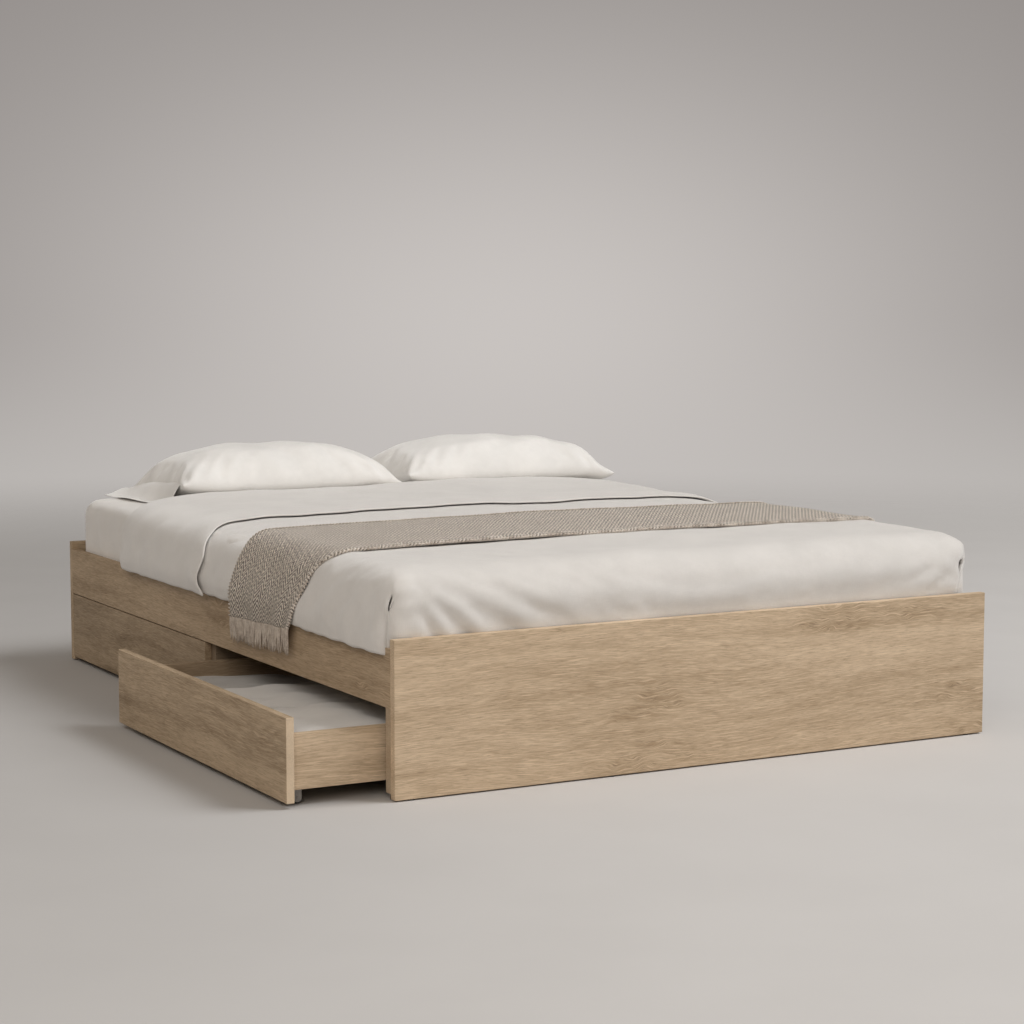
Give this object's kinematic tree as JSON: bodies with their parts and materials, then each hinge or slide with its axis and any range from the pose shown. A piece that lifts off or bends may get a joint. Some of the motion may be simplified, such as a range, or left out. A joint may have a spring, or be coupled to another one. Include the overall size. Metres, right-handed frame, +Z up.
{
  "type": "platform bed with storage drawers",
  "caption": "Low platform bed with flat end panels, a slatted base and flush side drawers on casters, dressed with mattress, duvet, throw and pillows.",
  "frame": {"origin": "on the floor at the middle of the bed's plan, at the foot of the centre glide under the spine", "axes": "+Y along the bed from the foot panel to the head panel, +X to the right of someone standing at the foot, +Z up"},
  "size_m": [1.7975, 2.124, 0.6165],
  "materials": {
    "oak_laminate": "matt printed oak decor with fine grain along each board and a slightly paler edge band",
    "carcass_board": "matt oak decor on hidden boards",
    "drawer_bottom_board": "thin fibreboard with pale wood-grain foil",
    "slat_wood": "planed unfinished pine",
    "strap_webbing": "woven polyester tape",
    "zinc_steel": "bright zinc plated steel",
    "caster_steel": "pressed steel, zinc grey",
    "wheel_nylon": "hard black nylon tread",
    "black_plastic": "moulded black polypropylene",
    "mattress_ticking": "quilted knit ticking under a fitted cotton sheet",
    "duvet_cotton": "matt washed cotton, plain weave",
    "pillow_cotton": "crisp cotton percale pillowcase",
    "throw_weave": "herringbone woven throw, taupe and cream, with a fringe at each end",
    "stored_cotton": "folded cotton sheets and towels"
  },
  "bodies": {
    "bed_frame": {"head_panel": "oak_laminate", "foot_panel": "oak_laminate", "side_rail_left": "oak_laminate", "side_rail_right": "oak_laminate", "centre_spine": "carcass_board", "foot_divider_left": "oak_laminate", "foot_divider_right": "oak_laminate", "centre_divider_left": "oak_laminate", "centre_divider_right": "oak_laminate", "head_divider_left": "carcass_board", "head_divider_right": "carcass_board", "slat_ledger_left": "slat_wood", "slat_ledger_right": "slat_wood", "mattress_slats": "slat_wood", "slat_straps": "strap_webbing", "frame_brackets": "zinc_steel", "frame_screws": "zinc_steel", "panel_bolts": "zinc_steel", "drawer_guides": "slat_wood", "drawer_stops": "slat_wood", "floor_glides": "black_plastic", "mattress": "mattress_ticking", "duvet": "duvet_cotton", "throw": "throw_weave", "pillow_left": "pillow_cotton", "pillow_right": "pillow_cotton"},
    "foot_left_drawer": {"drawer_foot_left_front": "oak_laminate", "drawer_foot_left_side_foot": "oak_laminate", "drawer_foot_left_side_head": "oak_laminate", "drawer_foot_left_back": "oak_laminate", "drawer_foot_left_bottom": "drawer_bottom_board", "drawer_foot_left_casters": "caster_steel", "stored_linen": "stored_cotton"},
    "foot_left_front_wheels": {"drawer_foot_left_front_wheels": "wheel_nylon"},
    "foot_left_rear_wheels": {"drawer_foot_left_rear_wheels": "wheel_nylon"},
    "head_left_drawer": {"drawer_head_left_front": "oak_laminate", "drawer_head_left_side_foot": "oak_laminate", "drawer_head_left_side_head": "oak_laminate", "drawer_head_left_back": "oak_laminate", "drawer_head_left_bottom": "drawer_bottom_board", "drawer_head_left_casters": "caster_steel"},
    "head_left_front_wheels": {"drawer_head_left_front_wheels": "wheel_nylon"},
    "head_left_rear_wheels": {"drawer_head_left_rear_wheels": "wheel_nylon"},
    "foot_right_drawer": {"drawer_foot_right_front": "oak_laminate", "drawer_foot_right_side_foot": "oak_laminate", "drawer_foot_right_side_head": "oak_laminate", "drawer_foot_right_back": "oak_laminate", "drawer_foot_right_bottom": "drawer_bottom_board", "drawer_foot_right_casters": "caster_steel"},
    "foot_right_front_wheels": {"drawer_foot_right_front_wheels": "wheel_nylon"},
    "foot_right_rear_wheels": {"drawer_foot_right_rear_wheels": "wheel_nylon"},
    "head_right_drawer": {"drawer_head_right_front": "oak_laminate", "drawer_head_right_side_foot": "oak_laminate", "drawer_head_right_side_head": "oak_laminate", "drawer_head_right_back": "oak_laminate", "drawer_head_right_bottom": "drawer_bottom_board", "drawer_head_right_casters": "caster_steel"},
    "head_right_front_wheels": {"drawer_head_right_front_wheels": "wheel_nylon"},
    "head_right_rear_wheels": {"drawer_head_right_rear_wheels": "wheel_nylon"}
  },
  "joints": [
    {"name": "foot_left_slide", "type": "slide", "parent": "bed_frame", "child": "foot_left_drawer", "axis": [-1, 0, 0], "range_m": [-0.225, 0.255]},
    {"name": "foot_left_front_wheels_spin", "type": "hinge", "parent": "foot_left_drawer", "child": "foot_left_front_wheels", "pos_m": [-0.966, -0.518, 0.013], "axis": [0, 1, 0], "continuous": true},
    {"name": "foot_left_rear_wheels_spin", "type": "hinge", "parent": "foot_left_drawer", "child": "foot_left_rear_wheels", "pos_m": [-0.347, -0.518, 0.013], "axis": [0, 1, 0], "continuous": true},
    {"name": "head_left_slide", "type": "slide", "parent": "bed_frame", "child": "head_left_drawer", "axis": [-1, 0, 0], "range_m": [0, 0.48]},
    {"name": "head_left_front_wheels_spin", "type": "hinge", "parent": "head_left_drawer", "child": "head_left_front_wheels", "pos_m": [-0.741, 0.522, 0.013], "axis": [0, 1, 0], "continuous": true},
    {"name": "head_left_rear_wheels_spin", "type": "hinge", "parent": "head_left_drawer", "child": "head_left_rear_wheels", "pos_m": [-0.122, 0.522, 0.013], "axis": [0, 1, 0], "continuous": true},
    {"name": "foot_right_slide", "type": "slide", "parent": "bed_frame", "child": "foot_right_drawer", "axis": [1, 0, 0], "range_m": [0, 0.48]},
    {"name": "foot_right_front_wheels_spin", "type": "hinge", "parent": "foot_right_drawer", "child": "foot_right_front_wheels", "pos_m": [0.741, -0.518, 0.013], "axis": [0, 1, 0], "continuous": true},
    {"name": "foot_right_rear_wheels_spin", "type": "hinge", "parent": "foot_right_drawer", "child": "foot_right_rear_wheels", "pos_m": [0.122, -0.518, 0.013], "axis": [0, 1, 0], "continuous": true},
    {"name": "head_right_slide", "type": "slide", "parent": "bed_frame", "child": "head_right_drawer", "axis": [1, 0, 0], "range_m": [0, 0.48]},
    {"name": "head_right_front_wheels_spin", "type": "hinge", "parent": "head_right_drawer", "child": "head_right_front_wheels", "pos_m": [0.741, 0.522, 0.013], "axis": [0, 1, 0], "continuous": true},
    {"name": "head_right_rear_wheels_spin", "type": "hinge", "parent": "head_right_drawer", "child": "head_right_rear_wheels", "pos_m": [0.122, 0.522, 0.013], "axis": [0, 1, 0], "continuous": true}
  ],
  "couplings": [
    {"joint": "foot_left_front_wheels_spin", "follows": "foot_left_slide", "rad_per_m": -76.923},
    {"joint": "foot_left_rear_wheels_spin", "follows": "foot_left_slide", "rad_per_m": -76.923},
    {"joint": "head_left_front_wheels_spin", "follows": "head_left_slide", "rad_per_m": -76.923},
    {"joint": "head_left_rear_wheels_spin", "follows": "head_left_slide", "rad_per_m": -76.923},
    {"joint": "foot_right_front_wheels_spin", "follows": "foot_right_slide", "rad_per_m": 76.923},
    {"joint": "foot_right_rear_wheels_spin", "follows": "foot_right_slide", "rad_per_m": 76.923},
    {"joint": "head_right_front_wheels_spin", "follows": "head_right_slide", "rad_per_m": 76.923},
    {"joint": "head_right_rear_wheels_spin", "follows": "head_right_slide", "rad_per_m": 76.923}
  ]
}
